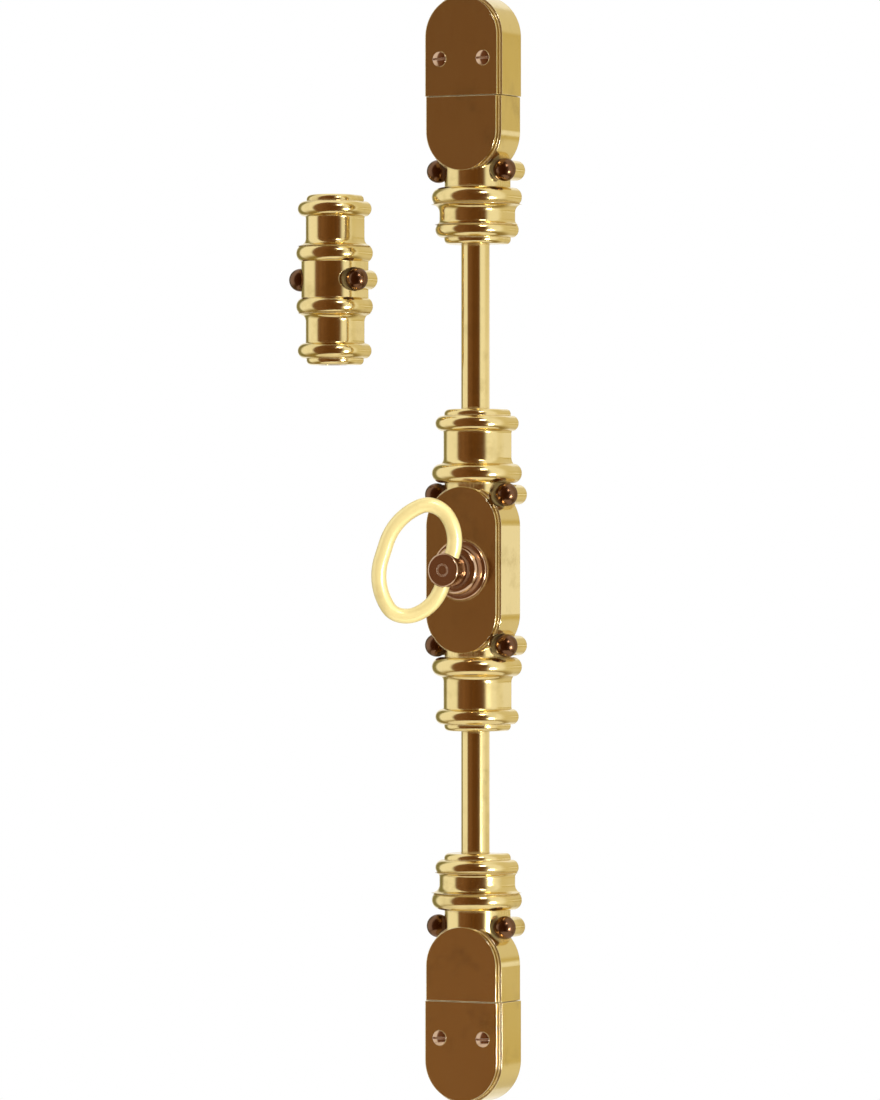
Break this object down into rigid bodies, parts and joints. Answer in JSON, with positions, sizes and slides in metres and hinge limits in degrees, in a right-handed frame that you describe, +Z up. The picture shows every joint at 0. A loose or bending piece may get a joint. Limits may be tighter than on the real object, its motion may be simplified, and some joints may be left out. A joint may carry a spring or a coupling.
{
  "type": "cremone bolt",
  "caption": "Surface-mounted brass cremone bolt: a swinging ring handle turns a pinion that drives racked rods apart, through turned guides and into keeps at head and foot.",
  "frame": {"origin": "on the door's face behind the spindle, at the back of the base plate", "axes": "+Z up along the rods, +Y into the door, -Y out towards the user, +X to the user's right"},
  "size_m": [0.1268, 0.0641, 0.5436],
  "materials": {
    "polished_brass": "polished",
    "turned_brass": "polished",
    "steel": "bright"
  },
  "bodies": {
    "fixed": {"main_case": "polished_brass", "base_plate": "turned_brass", "base_plate_screws": "steel", "case_screws": "turned_brass", "front_bush": "turned_brass", "upper_guide": "polished_brass", "upper_guide_screws": "turned_brass", "upper_keep": "polished_brass", "upper_keep_screws": "turned_brass", "lower_guide": "polished_brass", "lower_guide_screws": "turned_brass", "lower_keep": "polished_brass", "lower_keep_screws": "turned_brass", "loose_guide": "polished_brass", "loose_guide_screws": "turned_brass"},
    "handle": {"spindle": "turned_brass", "pinion": "polished_brass", "friction_washer": "steel", "retaining_ring": "steel"},
    "ring": {"ring_handle": "polished_brass"},
    "upper_rod": {"upper_rod": "polished_brass", "upper_rack": "steel", "upper_rack_pin": "steel"},
    "lower_rod": {"lower_rod": "polished_brass", "lower_rack": "steel", "lower_rack_pin": "steel"}
  },
  "joints": [
    {"name": "handle_turn", "type": "hinge", "parent": "fixed", "child": "handle", "pos_m": [0, -0.008, 0], "axis": [0, -1, 0], "range_deg": [-160, 20]},
    {"name": "ring_swing", "type": "hinge", "parent": "handle", "child": "ring", "pos_m": [0, -0.03778, 0], "axis": [0.342, 0, 0.9397], "range_deg": [-30, 150]},
    {"name": "upper_rod_slide", "type": "slide", "parent": "fixed", "child": "upper_rod", "axis": [0, 0, 1], "range_m": [-0.01675, 0.00209]},
    {"name": "lower_rod_slide", "type": "slide", "parent": "fixed", "child": "lower_rod", "axis": [0, 0, 1], "range_m": [-0.0021, 0.01676]}
  ],
  "couplings": [
    {"joint": "handle_turn", "follows": "upper_rod_slide", "rad_per_m": 166.67},
    {"joint": "lower_rod_slide", "follows": "upper_rod_slide", "ratio": -1}
  ]
}
